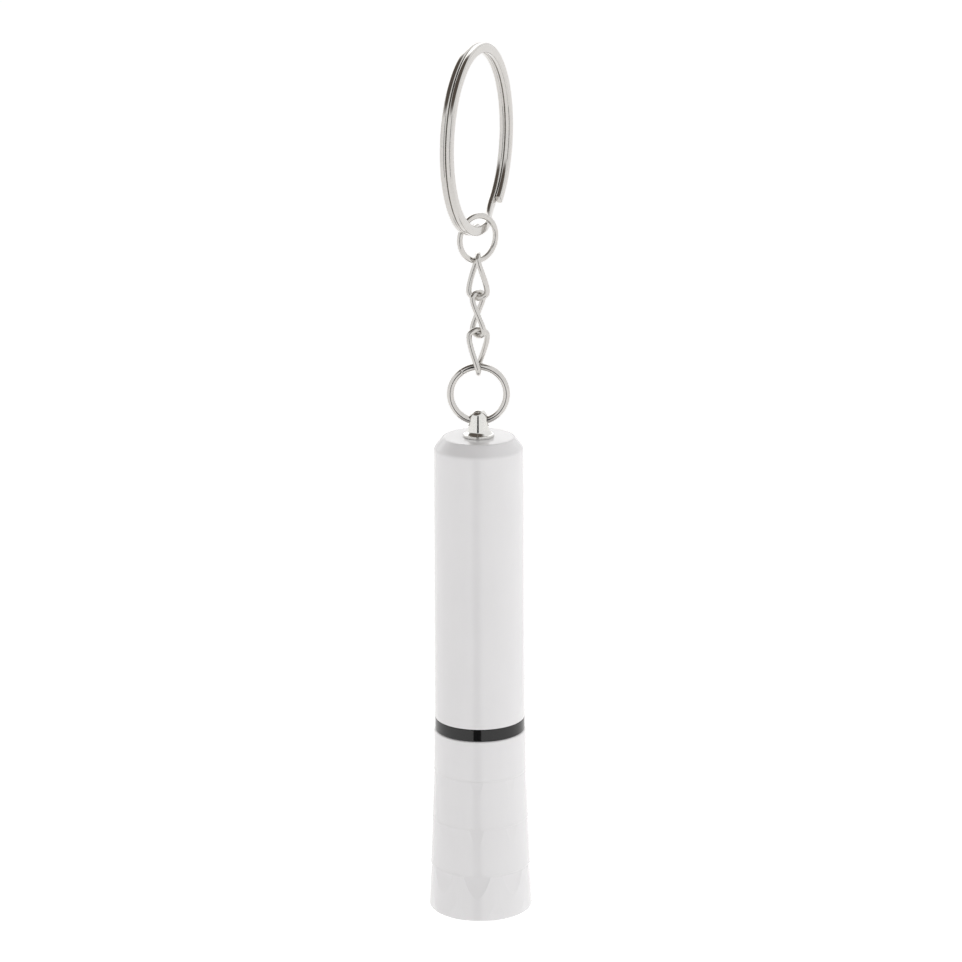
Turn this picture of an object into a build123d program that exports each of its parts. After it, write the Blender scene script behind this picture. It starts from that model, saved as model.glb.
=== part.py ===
"""Keychain flashlight: a one-cell twist light hanging on a short curb chain and a split ring.

Units are millimetres. The origin is the highest point inside the split ring, where the ring hangs on
a hook. Z is up, and the whole object hangs down the Z axis, lens end lowest. The split ring lies in
the YZ plane. Depths along the flashlight count downwards from the flat tail face.
"""
import os
from math import atan2, cos, degrees, pi, radians, sin, sqrt

from build123d import *

# split ring: one flat spring wire wound twice
SPLIT_OD = 30.0
SPLIT_WIRE_RADIAL = 1.55
SPLIT_WIRE_AXIAL = 0.95
SPLIT_WIRE_ROUND = 0.32
SPLIT_COIL_GAP = 0.04
SPLIT_JOG_START = -84.0     # degrees round the ring, 0 is +Y and -90 is the lowest point
SPLIT_JOG_END = -54.0
SPLIT_END_GAP = 2.5         # degrees between each cut end and the jog
SPLIT_JOG_LAP = 1.0         # degrees that the jog runs on inside the turn at each end
SPLIT_JOG_INSET = 0.01      # the jog's section is this much smaller all round
SPLIT_JOG_STEPS = 6

# small rings and links of round wire
CONNECT_OD = 8.0
CONNECT_WIRE = 0.9
LINK_LENGTH = 7.9
LINK_WIRE = 0.9
LINK_PLAY = 0.9             # room inside a link's width beyond two wires
LINK_TWIST = 80.0           # degrees from one end of a link to the other
LINK_CROWN = 45.0           # degrees each side of an end's crown that stay flat, before the twist
LINK_HANDLE = 0.62          # length of a strand's handles, in link radii
JUMP_OD = 10.0
JUMP_WIRE = 1.1
HANG_GAP = 0.05             # clearance between two wires that hang on each other

# headings of each ring or link about Z, in degrees from +X, at its top end
CONNECT_HEADING = 57.0
LINK_TOP_HEADING = 109.0
LINK_STEP = 60.0            # turn from the bottom of one link to the top of the next
JUMP_HEADING = 19.0

# tail stud
STUD_TIP_R = 1.3            # the body widens from its nose to its foot
STUD_FOOT_R = 1.75
STUD_NOSE = 1.3             # rounding of the nose
STUD_SKIRT = 0.45           # how far the skirt spreads, and its height over the flange
STUD_SKIRT_H = 0.45
EYE_CLEARANCE = 0.06        # round the jump ring's wire where it bends through the hole
EYE_WALL_OVER = 1.05
EYE_WALL_UNDER = 1.1        # between the hole and the flange
SHANK_R = 1.2
FLANGE_LIP = 1.25           # flange beyond the shank
FLANGE_T = 0.45
STUD_GAP = 0.05             # under the flange and over the washer
WASHER_LIP = 1.3
WASHER_T = 0.4
RIVET_LIP = 0.4
RIVET_T = 0.35

# barrel
CELL_CLEARANCE = 0.2        # cell in its bore
BARREL_WALL = 1.8           # at the accent ring, where the barrel is thickest
BARREL_DRAFT = 0.15         # the barrel's radius is this much smaller at its tail
TAIL_BEVEL_W = 1.4
TAIL_BEVEL_H = 1.85
TAIL_FACE_ROUND = 0.45      # where the tail face meets its bevel
TAIL_SIDE_ROUND = 0.9       # where the bevel meets the side
BAND_EDGE_ROUND = 0.1       # edges that meet at the accent ring
TAIL_WALL = 1.8
NECK_WALL = 1.0
NECK_LENGTH = 6.8           # from the end of the body, through the accent ring, into the head
CELL_PROUD = 3.4            # the cell's cap stands this far past the end of the body
BAND_T = 2.0
RUNNING = 0.05              # clearance of a face or shaft that turns on another
FIT = 0.02                  # clearance of a piece that is pressed or glued into another

# contact strip
STRIP_WIDTH = 2.0
STRIP_T = 0.2
STRIP_SLOT_DEPTH = 0.3
STRIP_FOOT_GAP = 0.4        # from the stud's washer to the strip's foot
STRIP_LUG_INSET = 0.2       # the lug stops this far inside the neck

# AAA cell and its spring
CELL_LENGTH = 44.5
CELL_R = 5.25
JACKET_T = 0.15
NIPPLE_R = 1.9
NIPPLE_H = 0.9
NIPPLE_FLARE = 0.1          # the cap is this much wider where it meets the seal
NIPPLE_ROUND = 0.3
CELL_CRIMP = 0.5            # depth of the seal below the can's lip
CAN_LIP = 1.2               # the can's lip reaches this far in over the seal
CAN_LIP_ROUND = 0.3
CAN_FOOT_ROUND = 0.4
SEAL_SINK = 0.1
TAIL_SPRING_H = 3.6
TAIL_SPRING_WIRE = 0.5
TAIL_SPRING_PLAY = 0.6      # between the widest coil and the bore
TAIL_SPRING_TIP_R = 2.4
TAIL_SPRING_TURNS = 4

# head
HEAD_FLARE = (              # length of a tier, how far its top and its lower edge pass the barrel
    (6.95, 0.13, 0.25),
    (8.05, 0.17, 0.55),
    (7.90, 0.49, 0.87),
    (7.50, 0.79, 1.11),
)
TIER_LIP = 0.30             # height of the flared lip at a tier's lower edge
LIP_FLARE = 0.06            # how far the lip stands out of the tier's wall
HEAD_TOP_ROUND = 0.25
RIM_ROUND = 0.35
GEM_COUNT = 8
GEM_HEADING = -75.0         # one cut faces this way
GEM_CUTS = (                # tier index, depth at the tier's top, height of the cut
    (1, 0.07, 2.6),
    (2, 0.09, 3.0),
    (3, 0.30, 3.6),
)
RIM_CUT_DEPTH = 0.16
RIM_CUT_HEIGHT = 2.6
BOARD_LEDGE = 0.3           # step in the bore that the board rests on
LENS_LEDGE = 0.6            # step in the bore round the lens
LENS_SEAT_DEPTH = 3.1
LENS_T = 1.2
LENS_ROUND = 0.15
BEZEL_T = 1.5
BEZEL_W = 1.0
BEZEL_ROUND = 0.15
BEZEL_CHAMFER_W = 0.4       # the cone round the light, in front of the lens
BEZEL_CHAMFER_H = 0.8

# driver and light
BOARD_T = 1.0
CONTACT_RING_T = 0.15
CONTACT_RING_INSET = 0.1    # the ring stops this far inside the neck
BOARD_SPRING_R = 2.5
BOARD_SPRING_TIP_R = 1.2
BOARD_SPRING_WIRE = 0.45
BOARD_SPRING_TURNS = 3
LED_R = 2.5
LED_FLANGE_R = 2.9
LED_FLANGE_T = 1.0
LED_LENGTH = 8.7
LED_TIP_FLAT = 0.05         # radius of the spot at the tip where the dome ends
LED_STANDOFF = 7.0
LEAD_PITCH = 2.54
LEAD_SIDE = 0.5
LEAD_CUT = 0.3              # lead left standing past the board
LEAD_HOLE_R = 0.45
INDUCTOR_R = 1.8
INDUCTOR_H = 2.6
CHIP_SIZE = (2.9, 1.6, 1.1)
PART_OFFSET = 3.9           # inductor and chip from the board's middle
SKIRT_WALL = 0.65
CUP_RIM = 0.45
CUP_THROAT_WALL = 1.0

# heights worked out from the sizes above
split_in_r = SPLIT_OD / 2 - SPLIT_WIRE_RADIAL
split_z = -split_in_r
split_shift = (SPLIT_WIRE_AXIAL + SPLIT_COIL_GAP) / 2
band_half = SPLIT_WIRE_AXIAL + SPLIT_COIL_GAP / 2 - SPLIT_WIRE_ROUND / 2
lean = radians(90 - CONNECT_HEADING)
connect_in_r = CONNECT_OD / 2 - CONNECT_WIRE
seat_half = (band_half + CONNECT_WIRE / 2 * cos(lean)) / sin(lean)
connect_rise = connect_in_r - sqrt(connect_in_r**2 - seat_half**2) + HANG_GAP
connect_r = (CONNECT_OD - CONNECT_WIRE) / 2
connect_z = -2 * split_in_r + connect_rise - connect_in_r
link_pitch = LINK_LENGTH - LINK_WIRE
link_r = (3 * LINK_WIRE + LINK_PLAY) / 2
top_1 = connect_z - connect_r + (CONNECT_WIRE + LINK_WIRE) / 2 + HANG_GAP
link_drop = link_pitch - LINK_WIRE - HANG_GAP
jump_r = (JUMP_OD - JUMP_WIRE) / 2
jump_top = top_1 - 2 * link_drop - link_pitch + (LINK_WIRE + JUMP_WIRE) / 2 + HANG_GAP
jump_z = jump_top - jump_r
eye_z = jump_z - jump_r
stud_r = (STUD_TIP_R + STUD_FOOT_R) / 2
eye_r = JUMP_WIRE / 2 + jump_r - sqrt(jump_r**2 - stud_r**2) + EYE_CLEARANCE
eye_rise = STUD_GAP + FLANGE_T + EYE_WALL_UNDER + eye_r
tail_z = eye_z - eye_rise
stud_height = eye_rise + eye_r + EYE_WALL_OVER
flange_r = SHANK_R + FLANGE_LIP
washer_r = SHANK_R + WASHER_LIP

# radii of the flashlight, from the cell outwards
bore_r = CELL_R + CELL_CLEARANCE
neck_r = bore_r + NECK_WALL
band_r = bore_r + BARREL_WALL
tail_r = band_r - BARREL_DRAFT
pocket_r = neck_r + BOARD_LEDGE
lens_seat_r = pocket_r + LENS_LEDGE
skirt_in_r = pocket_r - SKIRT_WALL
cup_mouth_r = pocket_r - CUP_RIM
bezel_in_r = lens_seat_r - BEZEL_W
head_tiers = [(length, band_r + top, band_r + low) for length, top, low in HEAD_FLARE]

# depths below the tail face
foot_depth = TAIL_WALL + STRIP_T
cell_top = foot_depth + TAIL_SPRING_H
cell_end = cell_top + CELL_LENGTH
body_length = cell_end - CELL_PROUD
neck_end = body_length + NECK_LENGTH
head_top = body_length + BAND_T + RUNNING
contact_ring_top = neck_end + STRIP_T + RUNNING
board_top = contact_ring_top + CONTACT_RING_T
board_end = board_top + BOARD_T
head_end = head_top + sum(tier[0] for tier in head_tiers)
lens_top = head_end - LENS_SEAT_DEPTH
bezel_top = lens_top + LENS_T + FIT
led_top = board_end + LED_STANDOFF
strip_out_x = bore_r + STRIP_SLOT_DEPTH - RUNNING


def turned(outline, rounds=()):
    """Solid of revolution about Z from (radius, depth) corners; rounds are (corner, radius) pairs."""
    points = [(r, tail_z - depth) for r, depth in outline]
    face = make_face(Polyline(*points, close=True))
    for corner, radius in rounds:
        spot = Vector(outline[corner][0], tail_z - outline[corner][1])
        near = face.vertices().sort_by_distance(spot)[0]
        face = fillet(near, radius)
    return revolve(Plane.XZ * face, Axis.Z)


def tube(r_in, r_out, top, end):
    """Plain washer or tube between two depths."""
    return turned([(r_in, top), (r_out, top), (r_out, end), (r_in, end)])


def block(x_low, x_high, width, top, end):
    """Box along X, centred on Y, between two depths."""
    size = Box(x_high - x_low, width, end - top)
    return Pos((x_low + x_high) / 2, 0, tail_z - (top + end) / 2) * size


def wire_ring(radius, wire, height, heading):
    """Round-wire ring standing on edge, its plane turned to a heading about Z."""
    ring = Rot(90, 0, 0) * Torus(radius, wire / 2)
    return Pos(0, 0, height) * Rot(0, 0, heading) * ring


def curb_link(top, heading):
    """Link whose two round ends are turned against each other, with curved strands between."""
    half = link_pitch / 2 - link_r
    crown = radians(LINK_CROWN)
    out = link_r * sin(crown)
    rise = half + link_r * cos(crown)
    pull = LINK_HANDLE * link_r
    solid = None
    for side in (1, -1):
        high = Vector(side * out, 0, rise)
        high_way = Vector(side * cos(crown), 0, -sin(crown)) * pull
        low = Vector(side * out, 0, -rise).rotate(Axis.Z, LINK_TWIST)
        low_way = Vector(side * cos(crown), 0, sin(crown)).rotate(Axis.Z, LINK_TWIST) * pull
        strand = Bezier(high, high + high_way, low + low_way, low)
        start = Vector(-out, 0, side * rise)
        end = ThreePointArc(start, (0, 0, side * (half + link_r)), (out, 0, side * rise))
        if side < 0:
            end = Rot(0, 0, LINK_TWIST) * end
        for path in (strand, end):
            section = Plane(path @ 0, z_dir=path % 0) * Circle(LINK_WIRE / 2)
            piece = sweep(section, path=path)
            solid = piece if solid is None else solid + piece
    return Pos(0, 0, top - link_pitch / 2) * Rot(0, 0, heading) * solid


def coil(radius, tip_radius, wire, turns, top, end, tip_down):
    """Conical round-wire compression spring between two depths."""
    height = end - top - wire
    slope = degrees(atan2(tip_radius - radius, height))
    helix = Helix(height / turns, height, radius, cone_angle=slope)
    section = Plane(helix @ 0, z_dir=helix % 0) * Circle(wire / 2)
    spring = sweep(section, path=helix, is_frenet=True)
    if tip_down:
        return Pos(0, 0, tail_z - top - wire / 2) * Rot(180, 0, 0) * spring
    return Pos(0, 0, tail_z - end + wire / 2) * spring


def split_ring():
    """Flat wire wound twice: a turn in front, a jog through the ring's thickness, a turn behind."""
    radius = split_in_r + SPLIT_WIRE_RADIAL / 2
    jog = SPLIT_JOG_END - SPLIT_JOG_START

    flat = RectangleRounded(SPLIT_WIRE_RADIAL, SPLIT_WIRE_AXIAL, SPLIT_WIRE_ROUND)

    def section(angle, shift):
        place = radians(angle)
        outward = Vector(0, cos(place), sin(place))
        spot = outward * radius + Vector(shift, 0, split_z)
        return Plane(spot, x_dir=outward, z_dir=(0, -sin(place), cos(place)))

    def turn(start, size, shift):
        axis = Axis((0, 0, split_z), (1, 0, 0))
        return revolve(section(start, shift) * flat, axis, size)

    front_start = SPLIT_JOG_END + SPLIT_END_GAP
    front = turn(front_start, 360 + SPLIT_JOG_START - front_start, split_shift)
    back_end = SPLIT_JOG_START - SPLIT_END_GAP
    back = turn(SPLIT_JOG_END, 360 + back_end - SPLIT_JOG_END, -split_shift)
    stations = [section(SPLIT_JOG_START - SPLIT_JOG_LAP, split_shift)]
    for k in range(SPLIT_JOG_STEPS + 1):
        share = k / SPLIT_JOG_STEPS
        stations.append(section(SPLIT_JOG_START + jog * share, split_shift * cos(pi * share)))
    stations.append(section(SPLIT_JOG_END + SPLIT_JOG_LAP, -split_shift))
    smaller = RectangleRounded(SPLIT_WIRE_RADIAL - 2 * SPLIT_JOG_INSET,
                               SPLIT_WIRE_AXIAL - 2 * SPLIT_JOG_INSET, SPLIT_WIRE_ROUND)
    crossing = loft([station * smaller for station in stations])
    return front + crossing + back


def tail_stud():
    """Turned bullet with a base flange, a cross hole for the jump ring, and a riveted shank."""
    flange_top = STUD_GAP + FLANGE_T
    washer_end = TAIL_WALL + STUD_GAP + WASHER_T
    outline = [
        (0, -stud_height),
        (STUD_TIP_R, -stud_height),
        (STUD_FOOT_R, -flange_top - STUD_SKIRT_H),
        (STUD_FOOT_R + STUD_SKIRT, -flange_top),
        (flange_r, -flange_top),
        (flange_r, -STUD_GAP),
        (SHANK_R, -STUD_GAP),
        (SHANK_R, washer_end),
        (SHANK_R + RIVET_LIP, washer_end),
        (SHANK_R + RIVET_LIP, washer_end + RIVET_T),
        (0, washer_end + RIVET_T),
    ]
    body = turned(outline, ((1, STUD_NOSE), (2, STUD_SKIRT), (4, FLANGE_T / 3), (9, RIVET_T / 2)))
    hole = Cylinder(eye_r, 4 * flange_r, rotation=(0, 90, 0))
    hole = Pos(0, 0, eye_z) * Rot(0, 0, JUMP_HEADING) * hole
    return body - hole


def barrel():
    """Moulded tube with a bevelled tail, a thin neck and a slot for the contact strip."""
    shank_hole = SHANK_R + RUNNING
    body = turned(
        [
            (shank_hole, 0),
            (tail_r - TAIL_BEVEL_W, 0),
            (tail_r, TAIL_BEVEL_H),
            (band_r, body_length),
            (neck_r, body_length),
            (neck_r, neck_end),
            (bore_r, neck_end),
            (bore_r, TAIL_WALL),
            (shank_hole, TAIL_WALL),
        ],
        ((1, TAIL_FACE_ROUND), (2, TAIL_SIDE_ROUND), (3, BAND_EDGE_ROUND)),
    )
    slot = block(bore_r - STRIP_T, bore_r + STRIP_SLOT_DEPTH, STRIP_WIDTH + 2 * RUNNING,
                 TAIL_WALL, neck_end + STRIP_T)
    return body - slot


def contact_strip():
    """Strip along the bore, with a foot under the tail spring and a lug over the neck's rim."""
    inner_x = strip_out_x - STRIP_T
    foot = block(washer_r + STRIP_FOOT_GAP, strip_out_x, STRIP_WIDTH, TAIL_WALL, foot_depth)
    run = block(inner_x, strip_out_x, STRIP_WIDTH, TAIL_WALL, neck_end + STRIP_T)
    lug = block(inner_x, neck_r - STRIP_LUG_INSET, STRIP_WIDTH, neck_end, neck_end + STRIP_T)
    return foot + run + lug


def gem_cuts(height_depth, lean_over, radius, heading):
    """Ring of thick plates that plane flats off the head; radius is to the plate's inner face."""
    plate = Pos(band_r, 0, 0) * Box(2 * band_r, 2 * band_r, 2 * band_r)
    cuts = []
    for k in range(GEM_COUNT):
        turn = Rot(0, 0, heading + k * 360 / GEM_COUNT)
        place = turn * Pos(radius, 0, tail_z - height_depth) * Rot(0, lean_over, 0)
        cuts.append(place * plate)
    return cuts


def head_band(top, end):
    """Cylinder of space that holds one tier of the head, to keep its cuts inside it."""
    return tube(pocket_r, 2 * band_r, top, end)


def head_shell():
    """Flared head: four tiers with rounded lips and flats, stepped bores for the pieces inside."""
    outline = [(neck_r + RUNNING, head_top)]
    depth = head_top
    for length, r_top, r_low in head_tiers:
        outline.append((r_top, depth))
        depth += length
        outline.append((r_low - LIP_FLARE, depth - TIER_LIP))
        outline.append((r_low, depth))
    outline.pop(-2)
    rim = len(outline) - 1
    outline += [
        (lens_seat_r, head_end),
        (lens_seat_r, lens_top),
        (pocket_r, lens_top),
        (pocket_r, board_top),
        (neck_r + RUNNING, board_top),
    ]
    shell = turned(outline, ((1, HEAD_TOP_ROUND), (rim, RIM_ROUND)))
    starts = [head_top]
    for length, r_top, r_low in head_tiers:
        starts.append(starts[-1] + length)
    for index, cut_depth, cut_height in GEM_CUTS:
        length, r_top, r_low = head_tiers[index]
        flare = degrees(atan2(r_low - r_top, length))
        steep = degrees(atan2(cut_depth, cut_height))
        top = starts[index]
        window = head_band(top, top + length)
        for plate in gem_cuts(top, -flare - steep, r_top - cut_depth, GEM_HEADING):
            shell -= plate & window
    rim_r = head_tiers[-1][2]
    flare = degrees(atan2(rim_r - head_tiers[-1][1], head_tiers[-1][0]))
    steep = degrees(atan2(RIM_CUT_DEPTH, RIM_CUT_HEIGHT))
    window = head_band(starts[-2], head_end + TIER_LIP)
    half_step = GEM_HEADING + 180 / GEM_COUNT
    for plate in gem_cuts(head_end, steep - flare, rim_r - RIM_CUT_DEPTH, half_step):
        shell -= plate & window
    return shell


def driver_board():
    """Round board with two holes for the lamp's leads."""
    board = tube(0, pocket_r - RUNNING, board_top, board_end)
    for side in (-1, 1):
        hole = Cylinder(LEAD_HOLE_R, 3 * BOARD_T)
        board -= Pos(side * LEAD_PITCH / 2, 0, tail_z - board_top) * hole
    return board


def led_body():
    """Clear epoxy body: flange, straight sides and a domed tip."""
    tip = led_top + LED_LENGTH
    return turned(
        [
            (0, led_top),
            (LED_FLANGE_R, led_top),
            (LED_FLANGE_R, led_top + LED_FLANGE_T),
            (LED_R, led_top + LED_FLANGE_T),
            (LED_R, tip),
            (0, tip),
        ],
        ((4, LED_R - LED_TIP_FLAT),),
    )


def led_leads():
    """Two square leads from under the lamp through the board."""
    start = board_top - LEAD_CUT
    lead = Box(LEAD_SIDE, LEAD_SIDE, led_top - start)
    middle = tail_z - (start + led_top) / 2
    return Compound([Pos(side * LEAD_PITCH / 2, 0, middle) * lead for side in (-1, 1)])


def reflector():
    """Bowl with a skirt that reaches back and holds the board against its shoulder."""
    mouth = lens_top - FIT
    throat = led_top + LED_FLANGE_T + FIT
    throat_r = LED_R + RUNNING
    slope = (cup_mouth_r - throat_r) / 2
    outer = tube(0, pocket_r - FIT, board_end, mouth)
    back = tube(0, skirt_in_r, board_end, throat)
    lamp = tube(0, throat_r, throat - CUP_THROAT_WALL, throat + CUP_THROAT_WALL)
    bowl_top = tail_z - throat - CUP_THROAT_WALL
    bowl_low = tail_z - mouth
    depth = bowl_top - bowl_low
    curve = Bezier((throat_r, bowl_top), (throat_r + slope * 1.5, bowl_top - depth / 6),
                   (cup_mouth_r, bowl_low + depth / 3), (cup_mouth_r, bowl_low))
    bowl = make_face(curve + Polyline((cup_mouth_r, bowl_low), (0, bowl_low),
                                      (0, bowl_top), (throat_r, bowl_top)))
    return outer - back - lamp - revolve(Plane.XZ * bowl, Axis.Z)


def cell_can():
    """Steel can, crimped in over the seal at its positive end."""
    can_r = CELL_R - JACKET_T
    can_end = cell_end - NIPPLE_H
    return turned(
        [
            (0, cell_top),
            (can_r, cell_top),
            (can_r, can_end),
            (can_r - CAN_LIP, can_end),
            (can_r - CAN_LIP, can_end - CELL_CRIMP),
            (0, can_end - CELL_CRIMP),
        ],
        ((1, CAN_FOOT_ROUND), (2, CAN_LIP_ROUND)),
    )


def cell_pieces():
    """Seal, positive cap and film sleeve of the cell."""
    can_r = CELL_R - JACKET_T
    can_end = cell_end - NIPPLE_H
    cap_foot_r = NIPPLE_R + NIPPLE_FLARE
    seal = tube(cap_foot_r, can_r - CAN_LIP, can_end - CELL_CRIMP, can_end - SEAL_SINK)
    cap = turned(
        [
            (0, can_end - CELL_CRIMP),
            (cap_foot_r, can_end - CELL_CRIMP),
            (NIPPLE_R, cell_end),
            (0, cell_end),
        ],
        ((2, NIPPLE_ROUND),),
    )
    jacket = tube(can_r, CELL_R, cell_top + CAN_FOOT_ROUND, can_end - CAN_LIP_ROUND)
    return seal, cap, jacket


def model():
    """Every piece by its node name."""
    pieces = {"split_ring": split_ring()}
    pieces["connecting_ring"] = wire_ring(connect_r, CONNECT_WIRE, connect_z, CONNECT_HEADING)
    heading = LINK_TOP_HEADING
    for order, name in enumerate(("top", "middle", "bottom")):
        pieces[f"chain_link_{name}"] = curb_link(top_1 - order * link_drop, heading)
        heading += LINK_TWIST + LINK_STEP
    pieces["jump_ring"] = wire_ring(jump_r, JUMP_WIRE, jump_z, JUMP_HEADING)
    pieces["tail_stud"] = tail_stud()
    washer_top = TAIL_WALL + STUD_GAP
    pieces["stud_washer"] = tube(SHANK_R, washer_r, washer_top, washer_top + WASHER_T)
    pieces["barrel"] = barrel()
    pieces["contact_strip"] = contact_strip()
    tail_coil_r = bore_r - TAIL_SPRING_PLAY - TAIL_SPRING_WIRE / 2
    pieces["tail_spring"] = coil(tail_coil_r, TAIL_SPRING_TIP_R, TAIL_SPRING_WIRE,
                                 TAIL_SPRING_TURNS, foot_depth, cell_top, True)
    pieces["cell_can"] = cell_can()
    seal, cap, jacket = cell_pieces()
    pieces["cell_seal"] = seal
    pieces["cell_positive_cap"] = cap
    pieces["cell_jacket"] = jacket
    pieces["accent_ring"] = turned(
        [
            (neck_r, body_length),
            (band_r, body_length),
            (band_r, body_length + BAND_T),
            (neck_r, body_length + BAND_T),
        ],
        ((1, BAND_EDGE_ROUND), (2, BAND_EDGE_ROUND)),
    )
    pieces["head_shell"] = head_shell()
    pieces["driver_board"] = driver_board()
    pieces["board_contact_ring"] = tube(bore_r, neck_r - CONTACT_RING_INSET,
                                        contact_ring_top, board_top)
    pieces["board_contact_spring"] = coil(BOARD_SPRING_R, BOARD_SPRING_TIP_R, BOARD_SPRING_WIRE,
                                          BOARD_SPRING_TURNS, cell_end + RUNNING, board_top, False)
    inductor = Cylinder(INDUCTOR_R, INDUCTOR_H)
    pieces["inductor"] = Pos(0, PART_OFFSET, tail_z - board_end - INDUCTOR_H / 2) * inductor
    chip = Box(*CHIP_SIZE)
    pieces["converter_chip"] = Pos(0, -PART_OFFSET, tail_z - board_end - CHIP_SIZE[2] / 2) * chip
    pieces["led_body"] = led_body()
    pieces["led_leads"] = led_leads()
    pieces["reflector"] = reflector()
    pieces["lens"] = turned(
        [
            (0, lens_top),
            (lens_seat_r - FIT, lens_top),
            (lens_seat_r - FIT, lens_top + LENS_T),
            (0, lens_top + LENS_T),
        ],
        ((1, LENS_ROUND), (2, LENS_ROUND)),
    )
    pieces["bezel_ring"] = turned(
        [
            (bezel_in_r, bezel_top),
            (lens_seat_r, bezel_top),
            (lens_seat_r, bezel_top + BEZEL_T),
            (bezel_in_r + BEZEL_CHAMFER_W, bezel_top + BEZEL_T),
            (bezel_in_r, bezel_top + BEZEL_T - BEZEL_CHAMFER_H),
        ],
        ((3, BEZEL_ROUND),),
    )
    return pieces


os.makedirs("parts", exist_ok=True)
for node, shape in model().items():
    export_step(shape, f"parts/{node}.step")
print("hinge heights:")
print("  ring centre", split_z)
print("  connecting ring bottom", connect_z - connect_r)
print("  link ends", top_1 - link_pitch, top_1 - link_drop - link_pitch)
print("  jump ring top, eye", jump_top, eye_z)
print("  tail face, head top, rim", tail_z, tail_z - head_top, tail_z - head_end)
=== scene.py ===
"""Looks of a keychain flashlight that hangs, lens end down, from a curb chain and a split ring.

The file follows the light as it is put together, from the key ring down to the lens. Sizes are written
in millimetres, as (radius, depth below the flat tail face) where a piece is turned or moulded round.
"""
from math import atan, cos, pi, radians, sin, tan

import bmesh
import bpy
from mathutils import Matrix, Vector
from mathutils.geometry import interpolate_bezier


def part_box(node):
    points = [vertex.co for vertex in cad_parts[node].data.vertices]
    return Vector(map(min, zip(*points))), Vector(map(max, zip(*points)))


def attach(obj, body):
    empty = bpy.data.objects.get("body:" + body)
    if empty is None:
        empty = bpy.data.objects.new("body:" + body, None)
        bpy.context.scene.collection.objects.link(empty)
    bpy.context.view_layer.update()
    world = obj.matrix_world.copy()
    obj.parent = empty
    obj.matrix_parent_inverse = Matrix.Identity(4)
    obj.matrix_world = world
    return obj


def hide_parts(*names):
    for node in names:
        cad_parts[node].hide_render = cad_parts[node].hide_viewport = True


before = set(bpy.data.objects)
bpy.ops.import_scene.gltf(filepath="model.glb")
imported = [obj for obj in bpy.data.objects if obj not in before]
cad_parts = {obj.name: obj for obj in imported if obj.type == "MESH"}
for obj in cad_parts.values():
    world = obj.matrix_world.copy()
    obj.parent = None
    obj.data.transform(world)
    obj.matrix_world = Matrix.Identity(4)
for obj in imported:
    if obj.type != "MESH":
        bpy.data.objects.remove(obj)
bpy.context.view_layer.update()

# ---- Split ring ------------------------------------------------------------------------------------
# Key ring of flat spring steel, wound twice on a mandrel and crossed over through its own thickness,
# then barrel plated in bright nickel. Its two cut ends are only broken with a file.
MM = 0.001
SPLIT_WIRE = (1.55, 0.95)        # across the ring, along its axis
SPLIT_WIRE_ROUND = 0.32
SPLIT_GAP = 0.04
SPLIT_JOG = (-84, -54)           # degrees from +Y, where the wire crosses over
SPLIT_CUT = 2.5                  # degrees between a cut end and the jog
SPLIT_TURN_STEPS = 220
SPLIT_JOG_STEPS = 14
CUT_BREAK = 0.06
POLISH_GRAIN = 0.35              # spread of the polished patches
POLISH_ROUGHNESS = (0.05, 0.13)
DRAW_LINE = 0.10                 # spacing of the marks that drawing and turning leave, as fine as can show
DRAW_DEPTH = 0.0004


def linear(colour):
    """Linear colour with alpha from an sRGB hex value."""
    parts = [int(colour[k:k + 2], 16) / 255 for k in (1, 3, 5)]
    return [c / 12.92 if c < 0.04045 else ((c + 0.055) / 1.055) ** 2.4 for c in parts] + [1]


def add_node(tree, kind, settings=None, **links):
    """Adds one node: settings go to its attributes or input sockets, links name the sockets they feed."""
    node = tree.nodes.new(kind)
    for key, value in (settings or {}).items():
        if isinstance(key, str) and hasattr(node, key):
            setattr(node, key, value)
        else:
            node.inputs[key].default_value = value
    for key, source in links.items():
        socket = int(key[1:]) if key[1:].isdigit() else key.replace("_", " ")
        tree.links.new(source, node.inputs[socket])
    return node


def new_material(name, **settings):
    """Material with one shader; the settings are constants on the shader's own sockets."""
    material = bpy.data.materials.new(name)
    material.use_nodes = True
    shader = material.node_tree.nodes["Principled BSDF"]
    for key, value in settings.items():
        shader.inputs[key.replace("_", " ")].default_value = value
    return material, material.node_tree, shader


def rough_and_bump(tree, shader, place, grain, roughness, bump_grain, height, strength=1.0):
    """Roughness that drifts between two values over patches, and a fine relief of a real height."""
    patches = add_node(tree, "ShaderNodeTexNoise", {"Scale": 1 / (grain * MM), "Detail": 3.0}, Vector=place)
    spread = add_node(tree, "ShaderNodeMapRange", {3: roughness[0], 4: roughness[1], 1: 0.35, 2: 0.65},
                      Value=patches.outputs["Fac"])
    tree.links.new(spread.outputs["Result"], shader.inputs["Roughness"])
    relief = add_node(tree, "ShaderNodeTexNoise", {"Scale": 1 / (bump_grain * MM), "Detail": 2.0},
                      Vector=place)
    bump = add_node(tree, "ShaderNodeBump", {"Strength": strength, "Distance": height * MM},
                    Height=relief.outputs["Fac"])
    tree.links.new(bump.outputs["Normal"], shader.inputs["Normal"])
    return patches


def two_tone(tree, shader, colours, patches):
    """Mixes two close colours over a noise node's patches into the base colour."""
    light, dark = (linear(colour) for colour in colours)
    tint = add_node(tree, "ShaderNodeMix", {"data_type": "RGBA", 6: light, 7: dark},
                    i0=patches.outputs["Fac"])
    tree.links.new(tint.outputs[2], shader.inputs["Base Color"])


def polished_metal(name, colours):
    """Drawn, turned or plated metal: mirror-like, with faint polished patches and lines from the work."""
    material, tree, shader = new_material(name, Metallic=1.0)
    place = add_node(tree, "ShaderNodeTexCoord").outputs["Object"]
    patches = rough_and_bump(tree, shader, place, POLISH_GRAIN, POLISH_ROUGHNESS, DRAW_LINE, DRAW_DEPTH)
    two_tone(tree, shader, colours, patches)
    return material


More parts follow.
